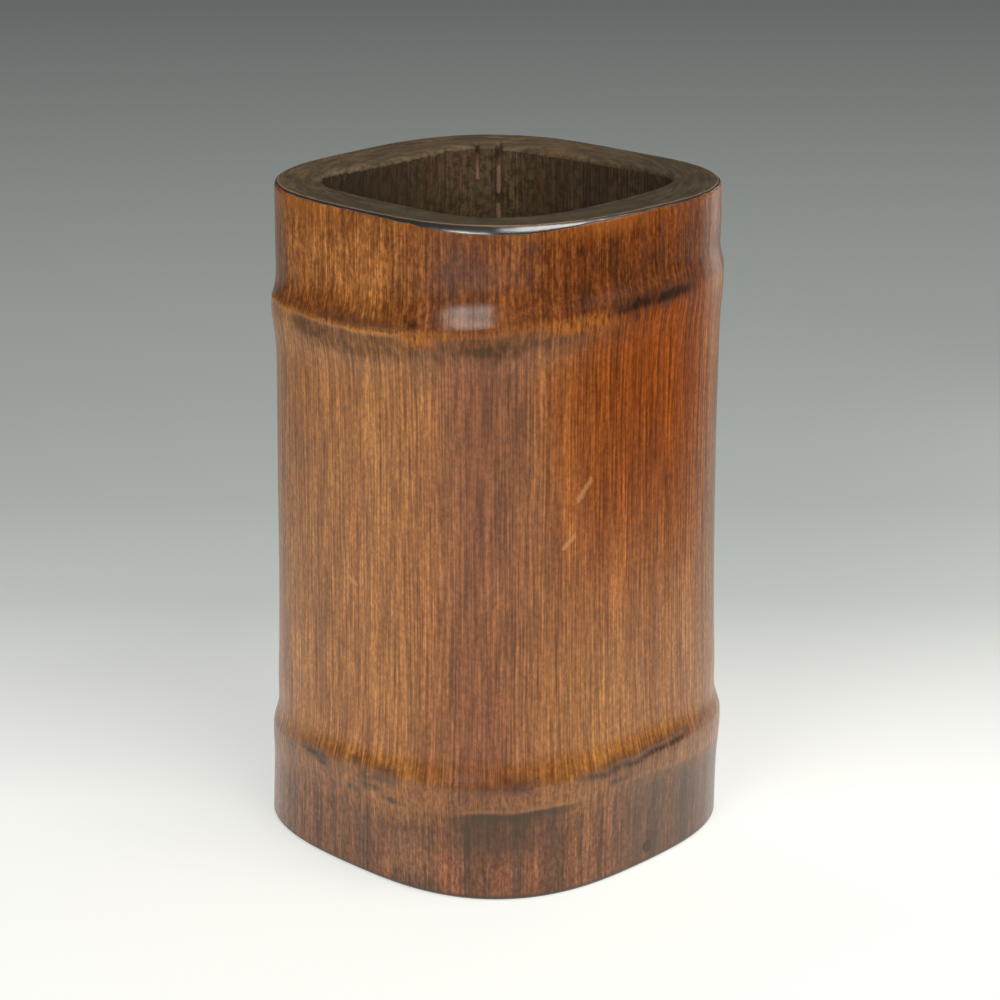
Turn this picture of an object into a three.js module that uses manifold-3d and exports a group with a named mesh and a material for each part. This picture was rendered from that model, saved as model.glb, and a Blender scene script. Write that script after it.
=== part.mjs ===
// Brush pot cut from one thick bamboo stem that was grown square, with two of its nodes left on.
// The cut end is dressed with dark lacquer, and a floor board is let into the foot and pegged.
// Millimetres, +Z up, origin at the middle of the foot, flat sides towards X and Y.

import * as THREE from 'three';
import Module from 'manifold-3d';

// Stem, seen from above: flat sides, rounded corners and the slight crookedness of a grown stem
const potHeight = 155;
const sideRadius = 48.9; // middle of the pot to a flat side, at the foot
const cornerRadius = 54.1; // middle of the pot to a rounded corner, at the foot
const ovalSwell = 0.74; // how far the stem is longer one way than across
const ovalTowards = 162.6; // degrees from +X
const lobeSwell = 0.52; // how far three sides of the stem stand out
const lobeTowards = 26.3;

// Stem, seen from the side
const rimInset = 3; // how much nearer the middle the outside is at the rim than at the foot
const waistInset = 0.9; // extra draw between the two nodes
const waistSkew = 0.6; // below 1 the waist sits nearer the lower node
const footEdge = 0.6; // worn outer edge of the foot
const topLean = 0.35; // how far the stem's upper end leans one way
const footLean = 0.65; // and its foot the other way
const leanTowards = 44;

// Nodes: the ring that each old leaf sheath left, with a swelling behind it
const lowerNodeHeight = 25.2; // above the foot
const lowerNodeSwell = 1.15;
const lowerNodeTilt = 2.75; // rise of the ring towards its high side
const lowerNodeTowards = -5; // degrees from +X to the high side
const upperNodeDepth = 24.1; // below the rim
const upperNodeSwell = 1.3;
const upperNodeTilt = 4.8;
const upperNodeTowards = 16;
const swellAbove = 4; // how far a node's swelling fades out upwards
const swellBelow = 7; // and downwards
const nodeBand = 12; // height on each side of a node that is modelled finely

// Inside
const sideWall = 10.3;
const cornerWall = 9.2;
const wellSquareness = 0.3; // the well's sides are straighter, and its corners tighter, than outside
const footWallExtra = 1; // the stem's wall is thicker low down
const stubHeight = 1.4; // what is left of the partition that was cut out at each node
const stubWidth = 4;

// Furrows that run down the inside of one corner, where the growing wall was folded
const wideFurrowTowards = 132;
const wideFurrowWidth = 2.4;
const wideFurrowDepth = 3.2;
const narrowFurrowTowards = 142;
const narrowFurrowWidth = 1.4;
const narrowFurrowDepth = 2.2;

// Lacquer on the cut end
const lacquerDepth = 2;
const rimOuterRound = 1.5;
const rimInnerRound = 1.3;
const roundSteps = 4;

// Floor board, let into the foot from below
const boardThickness = 5.6;
const boardRecess = 1.2; // above the surface that the pot stands on
const boardSeat = 2.6; // width of the ledge that the board bears on
const fitGap = 0.3;
const boardEdge = 0.6;

// Pegs through the wall into the edge of the board, one in the middle of each side
const pegCount = 4;
const pegDiameter = 2.6;
const pegGrip = 9; // length of peg inside the board
const pegSides = 16;

const stemSides = 72;
const furrowSteps = [-1, -0.4, 0, 0.4, 1]; // places across a furrow, in half widths
const wallTop = potHeight - lacquerDepth;
const boardTop = boardRecess + boardThickness;
const upperNodeHeight = potHeight - upperNodeDepth;
const degrees = Math.PI / 180;

function smooth(share) {
  const t = Math.min(1, Math.max(0, share));
  return t * t * (3 - 2 * t);
}

function evenly(from, to, count) {
  return Array.from({ length: count }, (_, i) => from + ((to - from) * i) / count);
}

// Outline of the stem at the foot, by angle from +X
function footOutline(angle) {
  const middle = (sideRadius + cornerRadius) / 2;
  const corner = ((cornerRadius - sideRadius) / 2) * Math.cos(4 * (angle - 45 * degrees));
  const oval = ovalSwell * Math.cos(2 * (angle - ovalTowards * degrees));
  const lobe = lobeSwell * Math.cos(3 * (angle - lobeTowards * degrees));
  return middle + corner + oval + lobe;
}

// Draw-in of the stem's side, without its nodes
function inset(height) {
  const between = (height - lowerNodeHeight) / (upperNodeHeight - lowerNodeHeight);
  const share = Math.min(1, Math.max(0, between)) ** waistSkew;
  return (rimInset * height) / potHeight + waistInset * Math.sin(Math.PI * share);
}

// The stem isn't quite straight: sideways reach of its middle in the direction of an angle
function lean(angle, height) {
  const halfWay = (lowerNodeHeight + upperNodeHeight) / 2;
  const top = topLean * smooth((height - halfWay) / (upperNodeHeight - halfWay));
  const foot = footLean * smooth((lowerNodeHeight - height) / lowerNodeHeight);
  return (top - foot) * Math.cos(angle - leanTowards * degrees);
}

function grownRadius(angle, height) {
  return footOutline(angle) - inset(height) + lean(angle, height);
}

function swelling(height, nodeHeight, amount) {
  const reach = height > nodeHeight ? swellAbove : swellBelow;
  return amount * Math.exp(-(((height - nodeHeight) / reach) ** 2));
}

function stemRadius(angle, height) {
  const swell =
    swelling(height, lowerNodeHeight, lowerNodeSwell) +
    swelling(height, upperNodeHeight, upperNodeSwell);
  return grownRadius(angle, height) + swell;
}

function stub(height, nodeHeight) {
  return stubHeight * Math.exp(-(((height - nodeHeight) / stubWidth) ** 2));
}

// Furrows are deepest at the rim and have run out at the lower node
const cornerWell = cornerRadius - rimInset - cornerWall;
const furrows = [
  { angle: wideFurrowTowards * degrees, half: wideFurrowWidth / 2, depth: wideFurrowDepth },
  { angle: narrowFurrowTowards * degrees, half: narrowFurrowWidth / 2, depth: narrowFurrowDepth },
];

function furrowDepth(angle, height) {
  const share = smooth((height - lowerNodeHeight) / (upperNodeHeight - lowerNodeHeight));
  return furrows.reduce((sum, furrow) => {
    const across = Math.abs(angle - furrow.angle) * cornerWell;
    return sum + furrow.depth * share * smooth(1 - across / furrow.half);
  }, 0);
}

function wellRadius(angle, height) {
  const middle = (sideWall + cornerWall) / 2;
  const corner = ((cornerWall - sideWall) / 2) * Math.cos(4 * (angle - 45 * degrees));
  const square = wellSquareness * Math.cos(8 * (angle - 45 * degrees));
  const low = footWallExtra * (1 - height / potHeight);
  const stubs = stub(height, lowerNodeHeight) + stub(height, upperNodeHeight);
  const plain = grownRadius(angle, height) - middle - corner + square;
  return plain - low - stubs + furrowDepth(angle, height);
}

function seatRadius(angle) {
  return wellRadius(angle, boardTop) + boardSeat;
}

// The nodes aren't level: heights near a node are lifted towards its high side
function tiltedHeight(angle, height) {
  const halfWay = (lowerNodeHeight + upperNodeHeight) / 2;
  const levelFoot = boardTop + footEdge;
  const lowerShare =
    height < lowerNodeHeight
      ? smooth((height - levelFoot) / (lowerNodeHeight - levelFoot))
      : smooth((halfWay - height) / (halfWay - lowerNodeHeight));
  const upperShare =
    height < upperNodeHeight
      ? smooth((height - halfWay) / (upperNodeHeight - halfWay))
      : smooth((wallTop - height) / (wallTop - upperNodeHeight));
  const lower = lowerNodeTilt * Math.cos(angle - lowerNodeTowards * degrees);
  const upper = upperNodeTilt * Math.cos(angle - upperNodeTowards * degrees);
  return height + lower * lowerShare + upper * upperShare;
}

// Angles round the stem at which every ring has a point: evenly apart, with more in each furrow
const columns = evenly(0, 2 * Math.PI, stemSides);
for (const furrow of furrows) {
  for (const step of furrowSteps) columns.push(furrow.angle + (step * furrow.half) / cornerWell);
}
columns.sort((a, b) => a - b);

// A closed band round the pot: each ring is a function of the angle that gives radius and height
function bandGeometry(rings) {
  const count = columns.length;
  const positions = [];
  const indices = [];
  for (const ring of rings) {
    for (const angle of columns) {
      const [radius, height] = ring(angle);
      positions.push(radius * Math.cos(angle), radius * Math.sin(angle), height);
    }
  }
  for (let ring = 0; ring < rings.length; ring += 1) {
    const next = (ring + 1) % rings.length;
    for (let side = 0; side < count; side += 1) {
      const after = (side + 1) % count;
      const a = ring * count + side;
      const b = ring * count + after;
      const c = next * count + after;
      const d = next * count + side;
      indices.push(a, b, c, a, c, d);
    }
  }
  const geometry = new THREE.BufferGeometry();
  geometry.setAttribute('position', new THREE.Float32BufferAttribute(positions, 3));
  geometry.setIndex(indices);
  return geometry;
}

// A solid slab with the board's outline: rings from the bottom up, closed by a point at each end
function slabGeometry(rings, bottom, top) {
  const count = columns.length;
  const geometry = bandGeometry(rings);
  const positions = Array.from(geometry.getAttribute('position').array);
  const indices = Array.from(geometry.getIndex().array).slice(0, (rings.length - 1) * count * 6);
  const bottomPoint = rings.length * count;
  const topPoint = bottomPoint + 1;
  const topRing = (rings.length - 1) * count;
  positions.push(0, 0, bottom, 0, 0, top);
  for (let side = 0; side < count; side += 1) {
    const after = (side + 1) % count;
    indices.push(bottomPoint, after, side);
    indices.push(topPoint, topRing + side, topRing + after);
  }
  const slab = new THREE.BufferGeometry();
  slab.setAttribute('position', new THREE.Float32BufferAttribute(positions, 3));
  slab.setIndex(indices);
  return slab;
}

function wallGeometry() {
  const outside = [
    footEdge,
    ...evenly(2 * footEdge, lowerNodeHeight - nodeBand, 3),
    ...evenly(lowerNodeHeight - nodeBand, lowerNodeHeight + nodeBand, 12),
    ...evenly(lowerNodeHeight + nodeBand, upperNodeHeight - nodeBand, 6),
    ...evenly(upperNodeHeight - nodeBand, upperNodeHeight + nodeBand, 12),
    ...evenly(upperNodeHeight + nodeBand, wallTop, 2),
    wallTop,
  ];
  const inside = [
    wallTop,
    ...evenly(upperNodeHeight + nodeBand, upperNodeHeight - nodeBand, 8),
    ...evenly(upperNodeHeight - nodeBand, lowerNodeHeight + nodeBand, 4),
    ...evenly(lowerNodeHeight + nodeBand, lowerNodeHeight - nodeBand, 8),
    boardTop,
  ];
  return bandGeometry([
    (angle) => [stemRadius(angle, 0) - footEdge, 0],
    ...outside.map((height) => (angle) => [stemRadius(angle, height), tiltedHeight(angle, height)]),
    ...inside.map((height) => (angle) => [wellRadius(angle, height), tiltedHeight(angle, height)]),
    (angle) => [seatRadius(angle), boardTop],
    (angle) => [seatRadius(angle), 0],
  ]);
}

function rimGeometry() {
  const rings = [(angle) => [stemRadius(angle, wallTop), wallTop]];
  for (let step = 0; step <= roundSteps; step += 1) {
    const turn = (step / roundSteps) * 90 * degrees;
    const back = rimOuterRound * (1 - Math.cos(turn));
    const height = potHeight - rimOuterRound * (1 - Math.sin(turn));
    rings.push((angle) => [stemRadius(angle, height) - back, height]);
  }
  for (let step = roundSteps; step >= 0; step -= 1) {
    const turn = (step / roundSteps) * 90 * degrees;
    const back = rimInnerRound * (1 - Math.cos(turn));
    const height = potHeight - rimInnerRound * (1 - Math.sin(turn));
    rings.push((angle) => [wellRadius(angle, height) + back, height]);
  }
  rings.push((angle) => [wellRadius(angle, wallTop), wallTop]);
  return bandGeometry(rings);
}

function boardGeometry() {
  const rings = [
    (angle) => [seatRadius(angle) - fitGap - boardEdge, boardRecess],
    (angle) => [seatRadius(angle) - fitGap, boardRecess + boardEdge],
    (angle) => [seatRadius(angle) - fitGap, boardTop],
  ];
  return slabGeometry(rings, boardRecess, boardTop);
}

// A round rod that points outwards at the given angle, from one radius to another
function rodGeometry(diameter, from, to, angle) {
  const rod = new THREE.CylinderGeometry(diameter / 2, diameter / 2, to - from, pegSides);
  rod.rotateZ(-90 * degrees);
  rod.translate((from + to) / 2, 0, boardRecess + boardThickness / 2);
  rod.rotateZ(angle);
  return rod;
}

const wasm = await Module();
wasm.setup();

function toSolid(geometry) {
  const source = geometry.getAttribute('position');
  const index = geometry.getIndex();
  const known = new Map();
  const vertices = [];
  const triangles = [];
  for (let corner = 0; corner < index.count; corner += 1) {
    const point = [0, 1, 2].map((axis) => Math.fround(source.getComponent(index.getX(corner), axis)));
    const key = point.map((value) => value.toFixed(5)).join();
    if (!known.has(key)) {
      known.set(key, vertices.length / 3);
      vertices.push(...point);
    }
    triangles.push(known.get(key));
  }
  const kept = [];
  for (let i = 0; i < triangles.length; i += 3) {
    const [a, b, c] = triangles.slice(i, i + 3);
    if (a !== b && b !== c && c !== a) kept.push(a, b, c);
  }
  return new wasm.Manifold(
    new wasm.Mesh({
      numProp: 3,
      vertProperties: new Float32Array(vertices),
      triVerts: new Uint32Array(kept),
    }),
  );
}

function toGeometry(solid) {
  const mesh = solid.getMesh();
  const geometry = new THREE.BufferGeometry();
  geometry.setAttribute('position', new THREE.BufferAttribute(mesh.vertProperties, 3));
  geometry.setIndex(new THREE.BufferAttribute(mesh.triVerts, 1));
  return geometry;
}

// Peg places: the middle of each side
const pegHeight = boardRecess + boardThickness / 2;
const pegPlaces = Array.from({ length: pegCount }, (_, i) => {
  const angle = (2 * Math.PI * i) / pegCount;
  return {
    angle,
    inner: seatRadius(angle) - fitGap - pegGrip,
    outer: stemRadius(angle, pegHeight),
  };
});

function withPegHoles(geometry) {
  let solid = toSolid(geometry);
  for (const place of pegPlaces) {
    const from = place.inner - fitGap;
    const to = place.outer + pegDiameter;
    const hole = rodGeometry(pegDiameter + 2 * fitGap, from, to, place.angle);
    solid = solid.subtract(toSolid(hole));
  }
  return toGeometry(solid);
}

// Finishes
const bambooSkin = { color: 0x8a5731, roughness: 0.35, metalness: 0 };
const darkLacquer = { color: 0x3d2a1e, roughness: 0.25, metalness: 0 };
const boardWood = { color: 0x6b4a30, roughness: 0.6, metalness: 0 };
const pegBamboo = { color: 0x5a3a22, roughness: 0.5, metalness: 0 };

function piece(name, geometry, finish) {
  const mesh = new THREE.Mesh(geometry, new THREE.MeshStandardMaterial(finish));
  mesh.name = name;
  return mesh;
}

const pot = new THREE.Group();
pot.add(piece('culm_wall', withPegHoles(wallGeometry()), bambooSkin));
pot.add(piece('rim_lacquer', rimGeometry(), darkLacquer));
pot.add(piece('floor_board', withPegHoles(boardGeometry()), boardWood));
pegPlaces.forEach((place, i) => {
  const peg = rodGeometry(pegDiameter, place.inner, place.outer, place.angle);
  pot.add(piece(`floor_peg_${i + 1}`, peg, pegBamboo));
});

// The crooked stem is moved so that the middle of its outside is at the origin
const extent = new THREE.Box3().setFromObject(pot.getObjectByName('culm_wall'));
const middle = extent.getCenter(new THREE.Vector3());
pot.position.set(-middle.x, -middle.y, 0);

const model = new THREE.Group();
model.add(pot);

export default model;
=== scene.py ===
# Looks of the squared bamboo brush pot: metres, +Z up, flat sides towards X and Y
from math import cos, pi, radians, sin, sqrt
import bpy
import numpy as np
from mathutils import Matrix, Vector


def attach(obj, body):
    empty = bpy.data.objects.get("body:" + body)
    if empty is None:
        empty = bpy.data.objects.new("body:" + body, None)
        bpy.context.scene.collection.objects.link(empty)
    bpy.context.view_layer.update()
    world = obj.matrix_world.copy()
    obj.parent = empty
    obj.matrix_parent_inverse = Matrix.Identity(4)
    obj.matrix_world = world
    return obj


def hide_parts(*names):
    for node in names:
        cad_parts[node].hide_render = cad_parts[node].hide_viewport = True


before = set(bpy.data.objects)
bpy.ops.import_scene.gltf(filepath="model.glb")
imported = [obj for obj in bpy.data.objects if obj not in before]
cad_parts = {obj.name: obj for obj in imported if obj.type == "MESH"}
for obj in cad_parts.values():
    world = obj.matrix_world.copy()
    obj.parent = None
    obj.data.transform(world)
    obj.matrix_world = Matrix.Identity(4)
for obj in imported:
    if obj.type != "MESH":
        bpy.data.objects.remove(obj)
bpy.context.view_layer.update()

scene = bpy.context.scene
mm = 0.001
fullTurn = 2 * pi

# The stem, in millimetres and degrees, as the solids have it
stem = dict(
    height=155,
    sideRadius=48.9,
    cornerRadius=54.1,
    ovalSwell=0.74, ovalTowards=162.6,
    lobeSwell=0.52, lobeTowards=26.3,
    rimInset=3,
    waistInset=0.9, waistSkew=0.6,
    footEdge=0.6,
    topLean=0.35, footLean=0.65, leanTowards=44,
    lowerNode=25.2, lowerSwell=1.15, lowerTilt=2.75, lowerTowards=-5,
    upperNode=130.9, upperSwell=1.3, upperTilt=4.8, upperTowards=16,
    swellAbove=4, swellBelow=7,
    sideWall=10.3, cornerWall=9.2, wellSquareness=0.3, footWallExtra=1,
    stubHeight=1.4, stubWidth=4,
    wallTop=153,
    boardTop=6.8, boardSeat=2.6,
)
lowerNode, upperNode = stem["lowerNode"], stem["upperNode"]
wallTop, boardTop = stem["wallTop"], stem["boardTop"]
halfWay = (lowerNode + upperNode) / 2

# Folds that run down inside the back corner: degrees, width, depth
furrows = [(132.6, 2.4, 3.2), (140.2, 1.4, 2.2)]
cornerWell = stem["cornerRadius"] - stem["cornerWall"]


def smooth(share):
    t = np.clip(share, 0, 1)
    return t * t * (3 - 2 * t)


def rising(x, first, last):
    return smooth((x - first) / (last - first))


def bell(x, middle, below, above=None):
    reach = np.where(x < middle, below, below if above is None else above)
    return np.exp(-(((x - middle) / reach) ** 2))


# 1 at zero and below, dying out above it over the reach
def dyingUp(x, reach):
    return np.exp(-np.maximum(x, 0) / reach)


def towards(angle, degrees):
    return np.cos(angle - radians(degrees))


def degreesFrom(angle, degrees):
    return (np.degrees(angle) - degrees + 180) % 360 - 180


# 1 on each stretch of degrees, fading out softly at its ends
def along(angle, stretches, soft):
    total = 0
    for first, last in stretches:
        middle, half = (first + last) / 2, (last - first) / 2
        total = total + smooth((half + soft / 2 - np.abs(degreesFrom(angle, middle))) / soft)
    return np.clip(total, 0, 1)


# Irregular waves round the stem: seed, fewest, most, size in mm
waveKinds = dict(
    upper=(11, 6, 34, 0.16), lower=(12, 6, 40, 0.2), lip=(13, 6, 30, 0.2),
    flutes=(31, 14, 60, 0.04), skirt=(54, 7, 60, 0.07),
)


def waves(angle, kind):
    seed, fewest, most, amount = waveKinds[kind]
    draws = np.random.default_rng(seed)
    cycles = np.arange(fewest, most)
    phases = draws.uniform(0, fullTurn, len(cycles))
    sizes = draws.normal(0, 1, len(cycles)) / sqrt(len(cycles))
    total = np.cos(np.ravel(angle)[:, None] * cycles + phases) @ sizes
    return amount * total.reshape(np.shape(angle))


# Smooth random bumps from -1 to 1: seed, how many round the stem, mm apart in height
bumpKinds = dict(
    upperCrease=(21, 90, 2), tornFibres=(22, 430, 2.4), tornFine=(23, 800, 1.1),
    lowerCrease=(24, 90, 2), lipBreaks=(25, 40, 30), lipSpeckle=(26, 420, 1.7),
    fluteShare=(32, 24, 35), hollows=(33, 14, 26), pits=(34, 360, 7),
    wellRough=(41, 160, 24), wellFine=(42, 330, 9), stubs=(43, 120, 2.5),
    jag=(51, 300, 10), broadJag=(52, 150, 10), innerEdge=(53, 60, 10), chips=(56, 240, 10),
    coatTop=(55, 40, 0.5), smudge=(61, 30, 50),
)
bumpLevels = 97


def bumps(angle, height, kind):
    seed, around, apart = bumpKinds[kind]
    grid = np.random.default_rng(seed).uniform(-1, 1, (around, bumpLevels))
    across, up = (angle / fullTurn) % 1 * around, height / apart
    i, j = np.floor(across).astype(int), np.floor(up).astype(int)
    s, t = smooth(across - i), smooth(up - j)
    low, high = (grid[i % around, k % bumpLevels] * (1 - s) + grid[(i + 1) % around, k % bumpLevels] * s
                 for k in (j, j + 1))
    return low * (1 - t) + high * t


# Value round the stem through points of (degrees, value), rounded off
def lineRound(a, points, soft):
    at, values = zip(*points)
    turns = np.linspace(-soft, soft, 7)
    return sum(np.interp(np.degrees(a) + turn, at, values, period=360) for turn in turns) / len(turns)


def corners(a, count):
    return np.cos(count * (a - radians(45)))


def footOutline(a):
    side, corner = stem["sideRadius"], stem["cornerRadius"]
    r = (side + corner) / 2 + (corner - side) / 2 * corners(a, 4)
    r = r + stem["ovalSwell"] * np.cos(2 * (a - radians(stem["ovalTowards"])))
    return r + stem["lobeSwell"] * np.cos(3 * (a - radians(stem["lobeTowards"])))


def inset(h):
    share = np.clip((h - lowerNode) / (upperNode - lowerNode), 0, 1)
    waist = stem["waistInset"] * np.sin(pi * share ** stem["waistSkew"])
    return stem["rimInset"] * h / stem["height"] + waist


def lean(a, h):
    top = stem["topLean"] * rising(h, halfWay, upperNode)
    foot = stem["footLean"] * rising(h, lowerNode, 0)
    return (top - foot) * towards(a, stem["leanTowards"])


def tilted(a, h):
    level = boardTop + stem["footEdge"]
    lowerShare = np.where(h < lowerNode, rising(h, level, lowerNode), rising(h, halfWay, lowerNode))
    upperShare = np.where(h < upperNode, rising(h, halfWay, upperNode), rising(h, wallTop, upperNode))
    lift = stem["lowerTilt"] * towards(a, stem["lowerTowards"]) * lowerShare
    return h + lift + stem["upperTilt"] * towards(a, stem["upperTowards"]) * upperShare


def stemRadius(a, h):
    swell = stem["lowerSwell"] * bell(h, lowerNode, stem["swellBelow"], stem["swellAbove"])
    swell = swell + stem["upperSwell"] * bell(h, upperNode, stem["swellBelow"], stem["swellAbove"])
    return footOutline(a) - inset(h) + lean(a, h) + swell


def furrowDepth(a, h):
    total = 0
    for middle, width, depth in furrows:
        across = np.abs(np.radians(degreesFrom(a, middle))) * (cornerWell - stem["rimInset"])
        total = total + depth * smooth(1 - across / (width / 2))
    return total * rising(h, lowerNode, upperNode)


def wellRadius(a, h):
    side, corner, width = stem["sideWall"], stem["cornerWall"], stem["stubWidth"]
    wall = (side + corner) / 2 + (corner - side) / 2 * corners(a, 4) - stem["wellSquareness"] * corners(a, 8)
    wall = wall + stem["footWallExtra"] * (1 - h / stem["height"])
    wall = wall + stem["stubHeight"] * (bell(h, lowerNode, width) + bell(h, upperNode, width))
    return footOutline(a) - inset(h) + lean(a, h) - wall + furrowDepth(a, h)


# Lines on the nodes through (degrees, height). The front corner is at -46
scarLines = dict(
    upper=[(-124, 128.7), (-106, 128.9), (-92, 128.5), (-77, 129.4), (-65, 130.7), (-53, 132), (-45, 133.1),
           (-36, 133.6), (-25, 134.2), (-16, 134.6), (-6, 135.1), (18, 135.4), (60, 134.4), (110, 131.8),
           (160, 129.6), (200, 128.4), (228, 128.4)],
    lower=[(-117, 24), (-107, 25), (-85, 25), (-72, 25.2), (-60, 25.9), (-47, 27.1), (-41, 27.5), (-12, 27.5),
           (-1, 28.2), (11, 28.7), (27, 29.8), (60, 29), (110, 26.6), (160, 24.6), (210, 24), (230, 23.8)],
    lip=[(-119, 18.6), (-105, 20.2), (-91, 19.9), (-71, 19.3), (-62, 19.8), (-52, 21), (-40, 21.9),
         (-30, 22.1), (-12, 23), (-2, 23), (12, 22.3), (22, 22.2), (60, 21.6), (110, 19), (160, 18.6),
         (220, 18.4)],
)

# Scar of the old leaf sheath along the upper line
upperScar = dict(
    ridges=[(-134, -97), (-91, -71), (132, 208)], ridgeHeight=0.17, ridgeWidth=0.34, underRidge=0.35,
    torn=[(-70, -11), (72, 126)], golden=[(-71, -62), (-31, -12), (84, 112)],
    stepAbove=0.34, aboveReach=1.6, stepBelow=0.06, belowReach=3, tornRoughness=0.05,
    creases=[(-15, 16), (204, 216)], creaseDepth=0.26, creaseWidth=1, creaseWaver=0.3,
    smudges=[(-112, -20), (70, 150)],
)

# The lower node has a line, and a lip below it
lowerScar = dict(
    creases=[(-24, 14), (150, 176), (60, 84)], creaseDepth=0.2, creaseWidth=0.8, creaseWaver=0.3,
    dashes=[(-108, -97), (-88, -72), (-43, -37), (110, 118), (190, 202)], dashDepth=0.07,
    lips=[(-55, -26), (168, 200)], faintLips=[(-114, -58), (-22, 16), (60, 120)], faintShare=0.22,
    lipAbove=0.1, aboveReach=2.5, lipBelow=0.2, belowReach=4.5, roughness=0.07,
)


def lineHeight(a, line):
    return lineRound(a, scarLines[line], 6) + waves(a, line)


def lips(a, soft):
    return along(a, lowerScar["lips"], soft) + lowerScar["faintShare"] * along(a, lowerScar["faintLips"], 12)


def upperRelief(a, z):
    scar = upperScar
    u = z - lineHeight(a, "upper")
    ridge, torn = along(a, scar["ridges"], 9), along(a, scar["torn"], 8)
    crease = along(a, scar["creases"], 14) * (1 + scar["creaseWaver"] * bumps(a, z, "upperCrease"))
    above = rising(u, -0.5, 0.5)
    ridge = ridge * (bell(u, 0, scar["ridgeWidth"]) - scar["underRidge"] * bell(u, -1.4, 1, 0.7))
    fibres = bumps(a, z, "tornFibres") + 0.6 * bumps(a, z, "tornFine")
    step = scar["stepAbove"] * above * dyingUp(u, scar["aboveReach"])
    step = step - scar["stepBelow"] * (1 - above) * dyingUp(-u, scar["belowReach"])
    step = step + scar["tornRoughness"] * fibres * bell(u, -1.5, 1.9, 1)
    crease = crease * (bell(u, 0, scar["creaseWidth"]) + 0.3 * bell(u, 0.6, 2, 2.6))
    return scar["ridgeHeight"] * ridge + torn * step - scar["creaseDepth"] * crease


def lowerRelief(a, z):
    scar = lowerScar
    u, v = z - lineHeight(a, "lower"), z - lineHeight(a, "lip")
    crease = along(a, scar["creases"], 7) * (1 + scar["creaseWaver"] * bumps(a, z, "lowerCrease"))
    groove = crease * scar["creaseDepth"] + along(a, scar["dashes"], 5) * scar["dashDepth"]
    lip = np.clip(lips(a, 9) * (1 + 0.35 * bumps(a, z, "lipBreaks")), 0, 1.2)
    above = rising(v, -0.25, 0.2)
    out = lip * scar["lipAbove"] * above * dyingUp(v, scar["aboveReach"])
    out = out - lip * scar["lipBelow"] * (1 - above) * dyingUp(-v, scar["belowReach"])
    speckled = rising(v, 0.3, 1.1) * rising(u, 1.2, -0.4)
    out = out + scar["roughness"] * speckled * bumps(a, z, "lipSpeckle")
    return out - groove * bell(u, 0, scar["creaseWidth"])


# Hollows of a grown stem, and where the nodes stand out less: stretch, softness, height, depth
skinRelief = dict(hollows=0.07, pits=0.02, trimWidth=6)
nodeTrims = [((18, 62), 30, 136, 0.75), ((18, 62), 30, 29, 0.7), ((-156, -112), 30, 25, 0.75),
             ((-156, -112), 30, 129, 0.3), ((-58, -42), 20, 139.5, 0.5)]


def outsideRelief(a, z):
    out = waves(a, "flutes") * (1 + 0.5 * bumps(a, z, "fluteShare"))
    out = out + skinRelief["hollows"] * bumps(a, z, "hollows") + skinRelief["pits"] * bumps(a, z, "pits")
    for stretch, soft, height, depth in nodeTrims:
        out = out - depth * along(a, [stretch], soft) * bell(z, height, skinRelief["trimWidth"])
    return out * smooth(z / 4) + upperRelief(a, z) + lowerRelief(a, z)


# Inside the well. Extra is wall that gets thicker towards the rim, by degrees and mm
inside = dict(
    rough=0.16, fine=0.1, stubRough=0.35, stubEdge=3,
    furrowShare=0.58, furrowLoss=0.36, furrowTurn=4,
    extra=[(-40, 0), (0, 0.3), (20, 1.5), (45, 2.3), (90, 3), (135, 4), (180, 4.8), (212, 3.2), (232, 0.6)],
    thickFrom=112, thickTo=148,
)


def insideRelief(a, z):
    rough = inside["rough"] * bumps(a, z, "wellRough") + inside["fine"] * bumps(a, z, "wellFine")
    stubs = sum(bell(z, tilted(a, node), inside["stubEdge"]) for node in (lowerNode, upperNode))
    rough = rough + inside["stubRough"] * stubs * bumps(a, z, "stubs")
    below = rising(z, wallTop, wallTop - inside["furrowTurn"])
    lost = 1 - inside["furrowShare"] + inside["furrowLoss"] * below
    back = lineRound(a, inside["extra"], 12) * rising(z, inside["thickFrom"], inside["thickTo"])
    return rough - lost * furrowDepth(a, z) - back


# The cut end: rounded outside, softened inside, notched where the wall folds
rim = dict(
    arrisTilt=24,
    outerRound=1.25, cornerRound=0.95, cornerAt=-46, cornerReach=25,
    cornerFlat=0.5, cornerSteep=0.36,
    bevel=0.5, bevelDrop=0.4,
    backBevel=1.7, backDrop=0.75, backStretch=[(112, 214)],
    softBevel=1.9, softDrop=1, softStretch=[(48, 126)],
    jagged=[(144, 230)], jag=0.2, broadJag=0.24, waver=0.12, chip=0.5, edgeReach=4,
    bites=[(229, 2.4, 1.5), (222, 1.5, 0.7), (214, 1.2, 0.4), (152, 1.8, 0.7)],
    coat=0.07, coatBack=0.6, wallUnderCoat=0.056, wallRun=2.8,
    skirt=0.75,
)


# 1 at the front corner, fading along the two sides
def cornerShare(a):
    return bell(degreesFrom(a, rim["cornerAt"]), 0, rim["cornerReach"])


def outerRound(a):
    return rim["outerRound"] + rim["cornerRound"] * cornerShare(a)


# Inside radius, with the chips and bites of the edge near the rim
def innerRadius(a, h, z):
    jags = rim["jag"] * bumps(a, 0, "jag") + rim["broadJag"] * bumps(a, 0, "broadJag")
    edge = along(a, rim["jagged"], 12) * jags + rim["waver"] * bumps(a, 0, "innerEdge")
    for middle, width, depth in rim["bites"]:
        across = np.radians(degreesFrom(a, middle)) * cornerWell
        edge = edge + depth * bell(across, 0, width / 2)
    top = wallTop + 1
    return wellRadius(a, h) + insideRelief(a, z) + edge * rising(z, top - rim["edgeReach"], top)


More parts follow.
